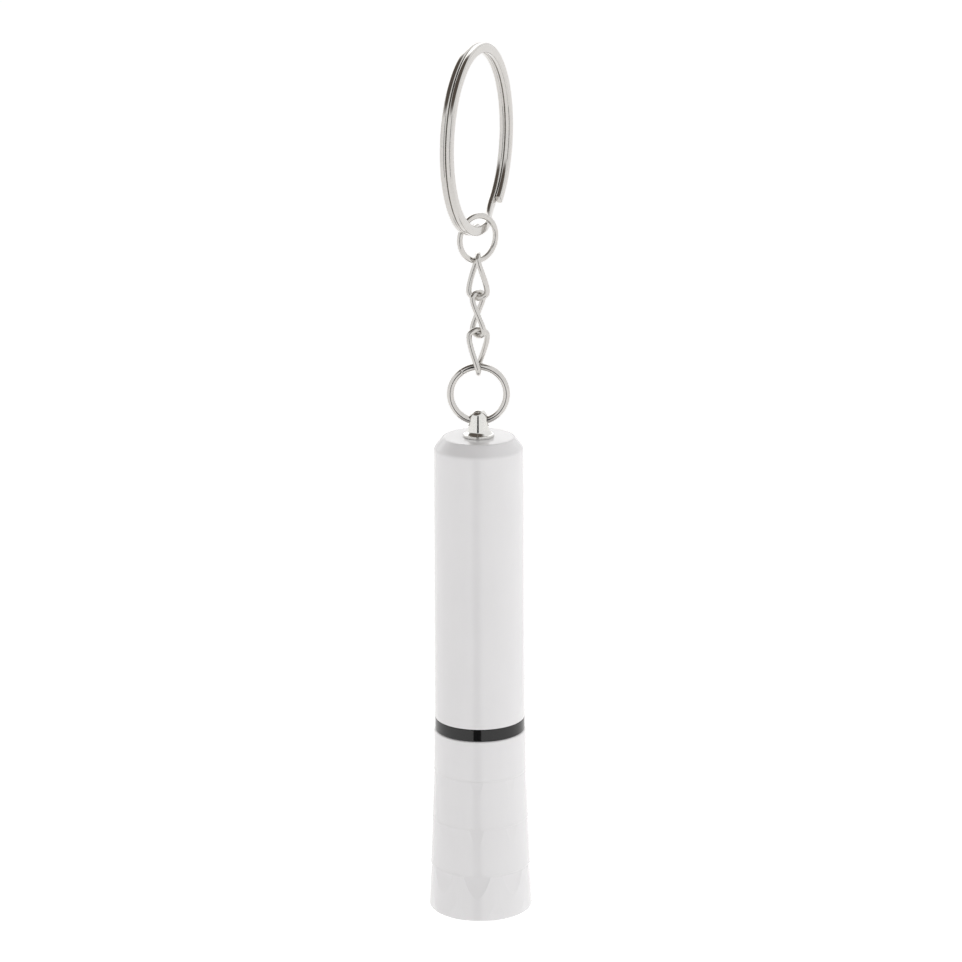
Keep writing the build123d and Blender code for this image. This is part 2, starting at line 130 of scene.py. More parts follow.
def make_piece(name, bm, material, sharp=35):
    """Turns a finished bmesh into an object with outward normals and crisp edges past an angle."""
    bmesh.ops.remove_doubles(bm, verts=bm.verts, dist=0.0005 * MM)
    bmesh.ops.recalc_face_normals(bm, faces=bm.faces)
    mesh = bpy.data.meshes.new(name)
    bm.to_mesh(mesh)
    bm.free()
    mesh.shade_smooth()
    mesh.set_sharp_from_angle(angle=radians(sharp))
    mesh.materials.append(material)
    piece = bpy.data.objects.new(name, mesh)
    bpy.context.scene.collection.objects.link(piece)
    return piece


def edge_set(geometry):
    """The edges and vertices in a list of geometry."""
    return [g for g in geometry if not isinstance(g, bmesh.types.BMFace)]


bright_nickel = polished_metal("bright_nickel_on_spring_wire", ("#c6c3bf", "#d6d4d1"))

split_low, split_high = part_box("split_ring")
split_centre = (split_low + split_high) / 2
split_radius = (split_high.y - split_low.y) / 2 - SPLIT_WIRE[0] / 2 * MM
split_shift = (SPLIT_WIRE[1] + SPLIT_GAP) / 2 * MM
turn_angle = radians(360 + SPLIT_JOG[0] - SPLIT_JOG[1] - SPLIT_CUT)

bm = bmesh.new()
bmesh.ops.create_grid(bm, x_segments=1, y_segments=1, size=0.5)
bmesh.ops.scale(bm, verts=bm.verts, vec=(SPLIT_WIRE[0] * MM, SPLIT_WIRE[1] * MM, 1))
bmesh.ops.bevel(bm, geom=bm.verts[:], offset=SPLIT_WIRE_ROUND * MM, segments=5, profile=0.5,
                affect="VERTICES", material=-1)
stand = Matrix(((0, 1, 0, split_shift), (1, 0, 0, split_radius), (0, 0, -1, 0), (0, 0, 0, 1)))
bmesh.ops.transform(bm, matrix=stand, verts=bm.verts)
bmesh.ops.rotate(bm, verts=bm.verts, cent=(0, 0, 0),
                 matrix=Matrix.Rotation(radians(SPLIT_JOG[1] + SPLIT_CUT), 3, "X"))
bmesh.ops.translate(bm, verts=bm.verts, vec=split_centre)
bmesh.ops.delete(bm, geom=bm.faces[:], context="FACES_ONLY")
first = bm.edges[:]
wire = bm.verts[:] + bm.edges[:]
jog_turn = radians(SPLIT_JOG[1] - SPLIT_JOG[0])
legs = [(turn_angle, SPLIT_TURN_STEPS, 0)]
for k in range(SPLIT_JOG_STEPS):
    now, after = (cos(pi * j / SPLIT_JOG_STEPS) for j in (k, k + 1))
    legs.append((jog_turn / SPLIT_JOG_STEPS, 1, (after - now) * split_shift))
legs.append((turn_angle, SPLIT_TURN_STEPS, 0))
for angle, steps, slide in legs:
    made = bmesh.ops.spin(bm, geom=wire, cent=split_centre, axis=(1, 0, 0), dvec=(slide, 0, 0),
                          angle=angle, steps=steps, use_merge=False, use_duplicate=False)
    wire = edge_set(made["geom_last"])
last = [g for g in wire if isinstance(g, bmesh.types.BMEdge)]
for rim in (first, last):
    bmesh.ops.contextual_create(bm, geom=rim)
bmesh.ops.bevel(bm, geom=first + last, offset=CUT_BREAK * MM, segments=2, profile=0.5, affect="EDGES",
                material=-1)
split_ring = make_piece("split_ring_coil", bm, bright_nickel)
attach(split_ring, "split_ring")
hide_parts("split_ring")

# ---- Connecting ring -------------------------------------------------------------------------------
# Small ring of round steel wire between the split ring and the chain: coiled, cut, closed with its ends
# butted together and nickel plated.
CONNECT_WIRE = 0.9
CONNECT_HEADING = 57
CONNECT_SEAM = 205               # where the butted ends meet, in degrees round the ring
BUTT_GAP = 0.04
WIRE_SIDES = 24
RING_STEPS = 120


def butted_ring(node, wire, heading, seam, material):
    """Round-wire ring standing on edge in the box of its CAD node, closed but for its butt joint."""
    low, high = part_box(node)
    radius = (high.z - low.z) / 2 - wire / 2 * MM
    bm = bmesh.new()
    bmesh.ops.create_circle(bm, segments=WIRE_SIDES, radius=wire / 2 * MM)
    bmesh.ops.translate(bm, verts=bm.verts, vec=(radius, 0, 0))
    start = bm.edges[:]
    gap = BUTT_GAP * MM / radius
    made = bmesh.ops.spin(bm, geom=bm.verts[:] + start, cent=(0, 0, 0), axis=(0, 1, 0), dvec=(0, 0, 0),
                          angle=2 * pi - gap, steps=RING_STEPS, use_merge=False, use_duplicate=False)
    end = [g for g in made["geom_last"] if isinstance(g, bmesh.types.BMEdge)]
    for rim in (start, end):
        bmesh.ops.contextual_create(bm, geom=rim)
    bmesh.ops.bevel(bm, geom=start + end, offset=CUT_BREAK / 2 * MM, segments=2, profile=0.5,
                    affect="EDGES", material=-1)
    turn = Matrix.Rotation(radians(heading), 4, "Z") @ Matrix.Rotation(radians(seam), 4, "Y")
    bmesh.ops.transform(bm, matrix=Matrix.Translation((low + high) / 2) @ turn, verts=bm.verts)
    return make_piece(f"{node}_wire", bm, material)


connecting_ring = butted_ring("connecting_ring", CONNECT_WIRE, CONNECT_HEADING, CONNECT_SEAM, bright_nickel)
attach(connecting_ring, "connecting_ring")
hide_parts("connecting_ring")

# ---- Curb chain ------------------------------------------------------------------------------------
# Three links of round steel wire, bent to an oval, hooked through each other, closed and then twisted so
# that the chain lies flat. Barrel plated with the rings.
LINK_WIRE = 0.9
LINK_HALF_WIDTH = 1.8            # to the wire's centre line
LINK_TWIST = 80
LINK_TURN_ON = 60                # from one link's lower end to the next one's upper end
LINK_HEADING = 109
LINK_CROWN = 45                  # degrees each side of an end's crown that stay round and flat
STRAND_HANDLE = 0.62             # of the half width, for the strand that leaves the crown


def curb_link(node, heading):
    """Twisted link as one closed smooth run of wire, in the box of its CAD node."""
    low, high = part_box(node)
    centre = (low + high) / 2
    radius = LINK_HALF_WIDTH * MM
    half = (high.z - low.z) / 2 - LINK_WIRE / 2 * MM - radius
    curve = bpy.data.curves.new(f"{node}_wire", "CURVE")
    curve.dimensions = "3D"
    curve.bevel_depth = LINK_WIRE / 2 * MM
    curve.bevel_resolution = 5
    curve.resolution_u = 20
    run = curve.splines.new("BEZIER")
    run.bezier_points.add(5)
    run.use_cyclic_u = True
    round_handle = 4 / 3 * tan(radians(LINK_CROWN) / 4) * radius
    for k, point in enumerate(run.bezier_points):
        end = 1 if k < 3 else -1
        lean = radians(LINK_CROWN) * (1, 0, -1)[k % 3]
        turn = Matrix.Rotation(radians(heading + (LINK_TWIST if end < 0 else 0)), 3, "Z")
        spot = Vector((end * radius * sin(lean), 0, end * (half + radius * cos(lean))))
        along = Vector((-end * cos(lean), 0, end * sin(lean)))
        back, ahead = (STRAND_HANDLE * radius if k % 3 == step else round_handle for step in (0, 2))
        point.handle_left_type = point.handle_right_type = "FREE"
        point.co = centre + turn @ spot
        point.handle_left = centre + turn @ (spot - along * back)
        point.handle_right = centre + turn @ (spot + along * ahead)
    bent = bpy.data.objects.new(f"{node}_bend", curve)
    bpy.context.scene.collection.objects.link(bent)
    tube = bpy.data.meshes.new_from_object(bent)
    bpy.data.objects.remove(bent)
    bm = bmesh.new()
    bm.from_mesh(tube)
    return make_piece(f"{node}_wire", bm, bright_nickel)


for k, place in enumerate(("top", "middle", "bottom")):
    link = curb_link(f"chain_link_{place}", LINK_HEADING + k * (LINK_TWIST + LINK_TURN_ON))
    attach(link, f"chain_link_{place}")
    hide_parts(f"chain_link_{place}")

# ---- Jump ring -------------------------------------------------------------------------------------
# Larger ring of round steel wire that joins the chain to the eye of the tail stud, butted and plated as
# the small one.
JUMP_WIRE = 1.1
JUMP_HEADING = 19
JUMP_SEAM = 235
jump_ring = butted_ring("jump_ring", JUMP_WIRE, JUMP_HEADING, JUMP_SEAM, bright_nickel)
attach(jump_ring, "jump_ring")
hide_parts("jump_ring")

# ---- Tail stud -------------------------------------------------------------------------------------
# Bullet turned from steel bar, cross drilled for the jump ring, plated, put through the tail wall and
# peened over a washer inside, so that it can swivel.
tail_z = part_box("barrel")[1].z
STUD_TOP = (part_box("tail_stud")[1].z - tail_z) / MM
STUD_TIP_R = 1.3
STUD_FOOT_R = 1.75
STUD_NOSE = 1.3                  # rounding of the nose
SKIRT = (0.45, 0.45)             # its spread and height over the flange
FLANGE = (2.45, 0.5, 0.05)       # radius, and the heights of its two faces
FLANGE_ROUND = 0.15
SHANK_R = 1.2
PEEN_ROUND = 0.17
PEEN = (1.6, 2.25, 2.6)          # radius, and its two depths inside the tail
EYE_R = 0.88
EYE_HEIGHT = 2.48
HOLD = 0.05                      # an extra loop this near each corner keeps flats flat
LATHE_STEPS = 160


def lathe(outline, rounds=(), closed=True, steps=LATHE_STEPS):
    """Turns an outline of (radius, depth) corners about Z. rounds are (corner, radius, segments)."""
    bm = bmesh.new()
    corners = [bm.verts.new((r * MM, 0, tail_z - depth * MM)) for r, depth in outline]
    for k, corner in enumerate(corners[1:] if not closed else corners):
        bm.edges.new((corners[k - 1] if closed else corners[k], corner))
    if closed:
        bmesh.ops.contextual_create(bm, geom=bm.edges[:])
    count = len(outline)
    for index, radius, segments in rounds:
        spot = corners[index].co.copy()
        before, after = (Vector((outline[j % count][0] * MM, 0, tail_z - outline[j % count][1] * MM))
                         for j in (index - 1, index + 1))
        bend = (spot - before).angle(after - spot)
        bmesh.ops.bevel(bm, geom=[corners[index]], offset=radius * MM * tan(bend / 2), segments=segments,
                        profile=0.5, affect="VERTICES", material=-1)
    bmesh.ops.delete(bm, geom=bm.faces[:], context="FACES_ONLY")
    on_axis = [e for e in bm.edges if max(v.co.x for v in e.verts) < HOLD * MM / 10]
    bmesh.ops.delete(bm, geom=on_axis, context="EDGES")
    for edge in [e for e in bm.edges if e.calc_length() > 4 * HOLD * MM]:
        start, end = edge.verts
        length = edge.calc_length()
        near = bmesh.utils.edge_split(edge, start, HOLD * MM / length)[0]
        rest = next(e for e in bm.edges if end in e.verts and e.other_vert(end) in near.verts
                    or end in e.verts and e.other_vert(end) is near.other_vert(start))
        bmesh.utils.edge_split(rest, end, HOLD * MM / (length - HOLD * MM))
    bmesh.ops.spin(bm, geom=bm.verts[:] + bm.edges[:], cent=(0, 0, 0), axis=(0, 0, 1), dvec=(0, 0, 0),
                   angle=2 * pi, steps=steps, use_merge=True, use_duplicate=False)
    bmesh.ops.remove_doubles(bm, verts=bm.verts, dist=0.0005 * MM)
    bmesh.ops.recalc_face_normals(bm, faces=bm.faces)
    return bm


def carve(piece, cutter_bm):
    """Takes the cutter's shape out of a piece for good."""
    tool = make_piece("cutter", cutter_bm, bright_nickel)
    cut = piece.modifiers.new("cut", "BOOLEAN")
    cut.object = tool
    cut.solver = "EXACT"
    cut.use_self = True
    cut.material_mode = "INDEX"
    graph = bpy.context.evaluated_depsgraph_get()
    mesh = bpy.data.meshes.new_from_object(piece.evaluated_get(graph))
    piece.modifiers.clear()
    bpy.data.objects.remove(tool)
    old = piece.data
    piece.data = mesh
    bpy.data.meshes.remove(old)
    return piece


def crisp(piece, sharp):
    """Shades a piece smooth but for the edges past an angle."""
    piece.data.shade_smooth()
    piece.data.set_sharp_from_angle(angle=radians(sharp))


bm = lathe(
    [
        (0, -STUD_TOP), (STUD_TIP_R, -STUD_TOP), (STUD_FOOT_R, -FLANGE[1] - SKIRT[1]),
        (STUD_FOOT_R + SKIRT[0], -FLANGE[1]), (FLANGE[0], -FLANGE[1]), (FLANGE[0], -FLANGE[2]),
        (SHANK_R, -FLANGE[2]), (SHANK_R, PEEN[1]), (PEEN[0], PEEN[1]), (PEEN[0], PEEN[2]), (0, PEEN[2]),
    ],
    ((1, STUD_NOSE, 10), (2, SKIRT[0], 6), (4, FLANGE_ROUND, 4), (9, PEEN_ROUND, 4)),
)
turned_nickel = polished_metal("bright_nickel_on_turned_steel", ("#dddcd8", "#e6e5e2"))
tail_stud = make_piece("tail_stud_bullet", bm, turned_nickel)
drill = bmesh.new()
bmesh.ops.create_cone(drill, cap_ends=True, segments=48, radius1=EYE_R * MM, radius2=EYE_R * MM,
                      depth=4 * FLANGE[0] * MM)
lay_down = Matrix.Rotation(radians(JUMP_HEADING), 4, "Z") @ Matrix.Rotation(pi / 2, 4, "Y")
bmesh.ops.transform(drill, matrix=Matrix.Translation((0, 0, tail_z + EYE_HEIGHT * MM)) @ lay_down,
                    verts=drill.verts)
carve(tail_stud, drill)
crisp(tail_stud, 35)
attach(tail_stud, "tail_stud")
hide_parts("tail_stud")

# ---- Stud washer -----------------------------------------------------------------------------------
# Stamped nickel-plated steel washer under the peened end. It is also the contact of the light's tail.
satin_nickel = polished_metal("satin_nickel_contact", ("#b5b1a6", "#cbc8bf"))
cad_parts["stud_washer"].material_slots[0].material = satin_nickel

# ---- Barrel ----------------------------------------------------------------------------------------
# Battery tube moulded in glossy white ABS, a little smaller at its bevelled tail so that it leaves the
# mould. The thin neck at its lower end goes through the black ring into the head.
BORE_R, NECK_R, TAIL_R, BAND_R = 5.45, 6.45, 7.1, 7.25
TAIL_WALL, TUBE_END, NECK_END = 1.8, 46.7, 53.5      # depths
TAIL_BEVEL = (1.4, 1.85)
SHANK_HOLE_R = SHANK_R + 0.05
TUBE_ROUNDS = ((1, 0.45, 6), (2, 0.9, 8), (3, 0.1, 3), (5, 0.2, 3))
WHITE = ("#eae9ea", "#eeedee")
FLOW_MARK = 9.0                  # size of the mould's faint flow patches
ORANGE_PEEL = 0.7                # spacing of the gloss skin's faint waves
WHITE_ROUGHNESS = (0.10, 0.16)
WHITE_WAVE = 0.0012              # height of those waves


def moulded_gloss(name, colours, roughness, wave_height):
    """Injection moulded ABS with a polished-mould skin: glossy, barely wavy, with faint flow patches."""
    material, tree, shader = new_material(name, IOR=1.54)
    place = add_node(tree, "ShaderNodeTexCoord").outputs["Object"]
    rough_and_bump(tree, shader, place, FLOW_MARK / 3, roughness, ORANGE_PEEL, wave_height)
    flow = add_node(tree, "ShaderNodeTexNoise", {"Scale": 1 / (FLOW_MARK * MM), "Detail": 2.0},
                    Vector=place)
    two_tone(tree, shader, colours, flow)
    return material


white_abs = moulded_gloss("gloss_white_abs", WHITE, WHITE_ROUGHNESS, WHITE_WAVE)
bm = lathe([(SHANK_HOLE_R, 0), (TAIL_R - TAIL_BEVEL[0], 0), (TAIL_R, TAIL_BEVEL[1]), (BAND_R, TUBE_END),
            (NECK_R, TUBE_END), (NECK_R, NECK_END), (BORE_R, NECK_END), (BORE_R, TAIL_WALL),
            (SHANK_HOLE_R, TAIL_WALL)], TUBE_ROUNDS)
barrel = make_piece("barrel_tube", bm, white_abs, sharp=30)
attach(barrel, "barrel")
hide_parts("barrel")

# ---- Contact strip and tail spring ------------------------------------------------------------------
# Strip punched from nickel-plated steel that carries the cell's negative side along the tube, and the
# conical wire spring that stands on its foot.
for node in ("contact_strip", "tail_spring"):
    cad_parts[node].material_slots[0].material = satin_nickel

# ---- Cell ------------------------------------------------------------------------------------------
# One AAA cell: drawn steel can, crimped over a nylon seal and the positive cap, in a shrunk film sleeve.
SLEEVE = ("#2c5a86", "#24507b")
nylon, tree, shader = new_material("black_nylon_seal", IOR=1.53)
place = add_node(tree, "ShaderNodeTexCoord").outputs["Object"]
shader.inputs["Base Color"].default_value = linear("#2b2b2c")
rough_and_bump(tree, shader, place, 0.8, (0.45, 0.6), 0.1, 0.004)
film, tree, shader = new_material("shrunk_pvc_sleeve", IOR=1.53)
place = add_node(tree, "ShaderNodeTexCoord").outputs["Object"]
shrink = add_node(tree, "ShaderNodeMapping", {"Scale": (1, 1, 0.15)}, Vector=place)
patches = rough_and_bump(tree, shader, shrink.outputs["Vector"], 2.0, (0.18, 0.3), 0.5, 0.01)
two_tone(tree, shader, SLEEVE, patches)
for node, material in (("cell_can", satin_nickel), ("cell_positive_cap", satin_nickel),
                       ("cell_seal", nylon), ("cell_jacket", film)):
    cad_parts[node].material_slots[0].material = material

# ---- Accent ring -----------------------------------------------------------------------------------
# Black moulded ring pushed on to the barrel's neck, flush with the barrel, as polished as the white.
BAND_END = 48.7
BAND_ROUND = 0.1
BLACK = ("#0c0c0d", "#121213")
black_abs = moulded_gloss("gloss_black_abs", BLACK, (0.06, 0.12), 0.0008)
bm = lathe([(NECK_R, TUBE_END), (BAND_R, TUBE_END), (BAND_R, BAND_END), (NECK_R, BAND_END)],
           ((1, BAND_ROUND, 3), (2, BAND_ROUND, 3)))
accent_ring = make_piece("accent_ring_band", bm, black_abs, sharp=30)
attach(accent_ring, "barrel")
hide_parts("accent_ring")

# ---- Head ------------------------------------------------------------------------------------------
# Flared head moulded in the same white ABS, in four stacked tiers that each end in a thin lip. Shallow
# flats like the facets of a gem are cut into the three lower tiers and the rim. It twists on and off.
HEAD_TOP = BAND_END + 0.05
TIERS = ((6.95, 0.13, 0.25), (8.05, 0.17, 0.55), (7.90, 0.49, 0.87), (7.50, 0.79, 1.11))
LIP = (0.30, 0.06)               # its height, and how far it stands out
LIP_ROUND = 0.05
TOP_ROUND = 0.25
RIM_ROUND = 0.35
NECK_BORE = 6.5
POCKET_R = 6.75
LENS_SEAT_R = 7.35
BOARD_TOP = 53.9
LENS_TOP = 76.05
FACETS = 8
FACET_HEADING = -75
FACET_CUTS = ((1, 0.07, 2.6), (2, 0.09, 3.0), (3, 0.30, 3.6))    # tier, depth, height
RIM_CUT = (0.16, 2.6)
PLATE = (3.6, 5.4, 24.0)         # the planing cutter: depth, width, height

outline = [(NECK_BORE, HEAD_TOP)]
starts = [HEAD_TOP]
lips = []
for length, top, low in TIERS:
    outline.append((BAND_R + top, starts[-1]))
    starts.append(starts[-1] + length)
    outline.append((BAND_R + low - LIP[1], starts[-1] - LIP[0]))
    outline.append((BAND_R + low, starts[-1]))
    lips.append(len(outline) - 1)
outline.pop(-2)
rim_corner = len(outline) - 1
HEAD_END = starts[-1]
outline += [(LENS_SEAT_R, HEAD_END), (LENS_SEAT_R, LENS_TOP), (POCKET_R, LENS_TOP), (POCKET_R, BOARD_TOP),
            (NECK_BORE, BOARD_TOP)]
rounds = [(1, TOP_ROUND, 5), (rim_corner, RIM_ROUND, 6)] + [(k, LIP_ROUND, 3) for k in lips[:-1]]
head = make_piece("head_shell_flare", lathe(outline, rounds), white_abs, sharp=30)


def facet_plates(top, lean, radius, heading, band):
    """Ring of leaning plates whose inner faces plane the facets, trimmed to one band of depth."""
    cutter = bmesh.new()
    for k in range(FACETS):
        plate = bmesh.new()
        bmesh.ops.create_cube(plate, size=MM)
        bmesh.ops.scale(plate, verts=plate.verts, vec=PLATE)
        bmesh.ops.translate(plate, verts=plate.verts, vec=(PLATE[0] / 2 * MM, 0, 0))
        place = (Matrix.Rotation(radians(heading + k * 360 / FACETS), 4, "Z")
                 @ Matrix.Translation((radius * MM, 0, tail_z - top * MM)) @ Matrix.Rotation(lean, 4, "Y"))
        bmesh.ops.transform(plate, matrix=place, verts=plate.verts)
        for depth, up in zip(band, (1, -1)):
            cut = bmesh.ops.bisect_plane(plate, geom=plate.verts[:] + plate.edges[:] + plate.faces[:],
                                         plane_co=(0, 0, tail_z - depth * MM), plane_no=(0, 0, up),
                                         clear_outer=True)["geom_cut"]
            bmesh.ops.contextual_create(plate, geom=[g for g in cut if isinstance(g, bmesh.types.BMEdge)])
        mesh = bpy.data.meshes.new("plate")
        plate.to_mesh(mesh)
        plate.free()
        cutter.from_mesh(mesh)
        bpy.data.meshes.remove(mesh)
    return cutter


for index, depth, height in FACET_CUTS:
    length, top, low = TIERS[index]
    lean = -atan((low - top) / length) - atan(depth / height)
    carve(head, facet_plates(starts[index], lean, BAND_R + top - depth, FACET_HEADING,
                             (starts[index], starts[index] + length)))
length, top, low = TIERS[-1]
lean = atan(RIM_CUT[0] / RIM_CUT[1]) - atan((low - top) / length)
carve(head, facet_plates(HEAD_END, lean, BAND_R + low - RIM_CUT[0], FACET_HEADING + 180 / FACETS,
                         (starts[-2], HEAD_END + 1)))
crisp(head, 4)
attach(head, "head")
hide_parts("head_shell")

# ---- Driver ----------------------------------------------------------------------------------------
# Round glass-epoxy board with green mask, its copper contact ring and spring towards the cell, and a drum
# inductor and a converter chip on the lamp's side.
SOLDER_MASK = ("#1d5a32", "#2b7a45")
TRACE = 2.4                      # spacing of the copper tracks under the mask
TRACE_WIDTH = 0.12               # of the spacing
DRUM = ("#333132", "#a4552c")    # ferrite flanges, enamelled winding
DRUM_FLANGE = 0.6
board, tree, shader = new_material("green_mask_on_glass_epoxy", IOR=1.5)
place = add_node(tree, "ShaderNodeTexCoord").outputs["Object"]
rough_and_bump(tree, shader, place, 1.0, (0.25, 0.4), 0.15, 0.004)
bare, traced = (linear(colour) for colour in SOLDER_MASK)
tracks = add_node(tree, "ShaderNodeTexBrick",
                  {"Scale": 1 / (TRACE * MM), "Mortar Size": TRACE_WIDTH, "Color1": bare, "Color2": bare,
                   "Mortar": traced}, Vector=place)
tree.links.new(tracks.outputs["Color"], shader.inputs["Base Color"])
copper = polished_metal("bare_rolled_copper", ("#b8734b", "#cf8a5e"))
ferrite, tree, shader = new_material("ferrite_drum_with_winding", IOR=1.6)
place = add_node(tree, "ShaderNodeTexCoord").outputs["Object"]
rough_and_bump(tree, shader, place, 0.4, (0.4, 0.6), 0.12, 0.006)
split = add_node(tree, "ShaderNodeSeparateXYZ", Vector=place)
drum_low, drum_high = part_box("inductor")
inside = add_node(tree, "ShaderNodeMath", {"operation": "COMPARE", 1: (drum_low.z + drum_high.z) / 2,
                                           2: (drum_high.z - drum_low.z) / 2 - DRUM_FLANGE * MM},
                  i0=split.outputs["Z"])
coat = add_node(tree, "ShaderNodeMix", {"data_type": "RGBA", 6: linear(DRUM[0]), 7: linear(DRUM[1])},
                i0=inside.outputs["Value"])
tree.links.new(coat.outputs[2], shader.inputs["Base Color"])
mould_epoxy, tree, shader = new_material("black_mould_epoxy", IOR=1.55)
place = add_node(tree, "ShaderNodeTexCoord").outputs["Object"]
shader.inputs["Base Color"].default_value = linear("#1b1b1c")
rough_and_bump(tree, shader, place, 0.3, (0.5, 0.65), 0.06, 0.004)
for node, material in (("driver_board", board), ("board_contact_ring", copper),
                       ("board_contact_spring", satin_nickel), ("inductor", ferrite),
                       ("converter_chip", mould_epoxy)):
    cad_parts[node].material_slots[0].material = material

# ---- Lamp ------------------------------------------------------------------------------------------
# Five-millimetre white LED: clear cast epoxy over a stamped lead frame. One lead ends in a small silvered
# cup filled with yellow phosphor, the other in a post beside it.
LED_TOP = 61.9
LED_R = 2.5
LED_FLANGE = (2.9, 1.0)
LED_FLANGE_ROUND = 0.1
LED_DOME = 2.45                  # rounding of the tip, nearly its whole radius
LED_TIP = 70.6
LED_FLAT = 2.6                   # the flange is cut flat this far out on the cathode's side
LEAD = 0.5
LEAD_PITCH = 2.54
LEAD_START = 53.6
ANVIL_TOP = 66.2
CUP = (0.75, 0.45, 0.55)         # mouth radius, floor radius, height
CUP_R, CUP_FLOOR = 0.95, 0.2
CUP_LIP = 0.08                   # rounding of its outer edge
LEAD_INSIDE = 2.2                # how far the leads run up into the epoxy
LEAD_LAP = 0.2                   # of that, shared with the wide parts they carry
ANVIL = (0.35, 1.9)              # middle and width of the lead that carries the cup
POST = (-1.15, 0.7, 0.3)         # middle, width, and how much shorter the other is
LEAD_BREAK = 0.05
PHOSPHOR = ("#d9c23a", "#efe07a")
PHOSPHOR_GAP = 0.02
PHOSPHOR_TOP = ((0.67, 0.12), (0.3, 0.04), (0, 0.03))    # radius, and how far it lies under the mouth
clear_epoxy, tree, shader = new_material("clear_cast_epoxy", IOR=1.53, Transmission_Weight=1.0)
place = add_node(tree, "ShaderNodeTexCoord").outputs["Object"]
shader.inputs["Base Color"].default_value = linear("#f7f8f2")
rough_and_bump(tree, shader, place, 1.5, (0.01, 0.04), 0.8, 0.0006)
bm = lathe([(0, LED_TOP), (LED_FLANGE[0], LED_TOP), (LED_FLANGE[0], LED_TOP + LED_FLANGE[1]),
            (LED_R, LED_TOP + LED_FLANGE[1]), (LED_R, LED_TIP), (0, LED_TIP)],
           ((4, LED_DOME, 14), (1, LED_FLANGE_ROUND, 3), (2, LED_FLANGE_ROUND, 3)), steps=96)
whole = bm.verts[:] + bm.edges[:] + bm.faces[:]
cut = bmesh.ops.bisect_plane(bm, geom=whole, plane_co=(LED_FLAT * MM, 0, 0), plane_no=(1, 0, 0),
                             clear_outer=True)["geom_cut"]
bmesh.ops.contextual_create(bm, geom=[g for g in cut if isinstance(g, bmesh.types.BMEdge)])
lamp = make_piece("lamp_epoxy", bm, clear_epoxy)
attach(lamp, "head")
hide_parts("led_body")

tinned = polished_metal("tinned_lead_frame", ("#b9b8b4", "#cfcecb"))
phosphor, tree, shader = new_material("yellow_phosphor_in_silicone", IOR=1.45)
place = add_node(tree, "ShaderNodeTexCoord").outputs["Object"]
patches = rough_and_bump(tree, shader, place, 0.2, (0.35, 0.5), 0.1, 0.01)
two_tone(tree, shader, PHOSPHOR, patches)


def stamped(bm, x, width, thick, top, end):
    """Adds a stamped bar with broken edges to a lead frame, between two depths."""
    made = bmesh.ops.create_cube(bm, size=1)
    bmesh.ops.scale(bm, verts=made["verts"], vec=(width * MM, thick * MM, (end - top) * MM))
    bmesh.ops.translate(bm, verts=made["verts"], vec=(x * MM, 0, tail_z - (top + end) / 2 * MM))
    edges = list({e for v in made["verts"] for e in v.link_edges})
    bmesh.ops.bevel(bm, geom=edges, offset=LEAD_BREAK * MM, segments=2, profile=0.5, affect="EDGES",
                    material=-1)


bm = bmesh.new()
for side in (-1, 1):
    stamped(bm, side * LEAD_PITCH / 2, LEAD, LEAD, LEAD_START, LED_TOP + LEAD_INSIDE)
lead_foot = LED_TOP + LEAD_INSIDE - LEAD_LAP
stamped(bm, ANVIL[0], ANVIL[1], LEAD, lead_foot, ANVIL_TOP)
stamped(bm, POST[0], POST[1], LEAD, lead_foot, ANVIL_TOP - POST[2])
leads = make_piece("lamp_lead_frame", bm, tinned)
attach(leads, "head")
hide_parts("led_leads")
cup_floor = ANVIL_TOP + CUP_FLOOR
cup_mouth = cup_floor + CUP[2]
cup_outline = [(0, ANVIL_TOP), (CUP_R, ANVIL_TOP), (CUP_R, cup_mouth), (CUP[0], cup_mouth),
               (CUP[1], cup_floor), (0, cup_floor)]
cup = make_piece("lamp_cup", lathe(cup_outline, ((2, CUP_LIP, 3),), steps=48), tinned)
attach(cup, "head")
fill = [(0, cup_floor + PHOSPHOR_GAP), (CUP[1] - PHOSPHOR_GAP, cup_floor + PHOSPHOR_GAP)]
fill += [(radius, cup_mouth - under) for radius, under in PHOSPHOR_TOP]
glow_fill = make_piece("lamp_phosphor", lathe(fill, ((3, 0.2, 3),), steps=48), phosphor)
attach(glow_fill, "head")

# ---- Reflector -------------------------------------------------------------------------------------
# Cup moulded in plastic and vacuum metallised, deep enough to gather the lamp's light. The skirt at its
# back stands on the driver board.
THROAT = (2.55, 62.92)
CUP_TOP = 63.92
CUP_MOUTH = (6.3, 76.03)
BOWL_HANDLES = ((5.36, 65.94), (6.3, 71.99))
BOWL_STEPS = 24
CUP_OUT_R = 6.73
CUP_SKIRT = (6.1, 54.9)
mirror, tree, shader = new_material("vacuum_metallised_plastic", Metallic=1.0)
place = add_node(tree, "ShaderNodeTexCoord").outputs["Object"]
shader.inputs["Base Color"].default_value = linear("#eceded")
rough_and_bump(tree, shader, place, 1.2, (0.03, 0.08), 0.6, 0.0015)
bowl = interpolate_bezier(Vector((THROAT[0], CUP_TOP)), Vector(BOWL_HANDLES[0]), Vector(BOWL_HANDLES[1]),
                          Vector(CUP_MOUTH), BOWL_STEPS)
outline = [THROAT] + [tuple(spot) for spot in bowl]
outline += [(CUP_OUT_R, CUP_MOUTH[1]), (CUP_OUT_R, CUP_SKIRT[1]), CUP_SKIRT, (CUP_SKIRT[0], THROAT[1])]
reflector = make_piece("reflector_cup", lathe(outline), mirror, sharp=30)
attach(reflector, "head")
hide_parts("reflector")

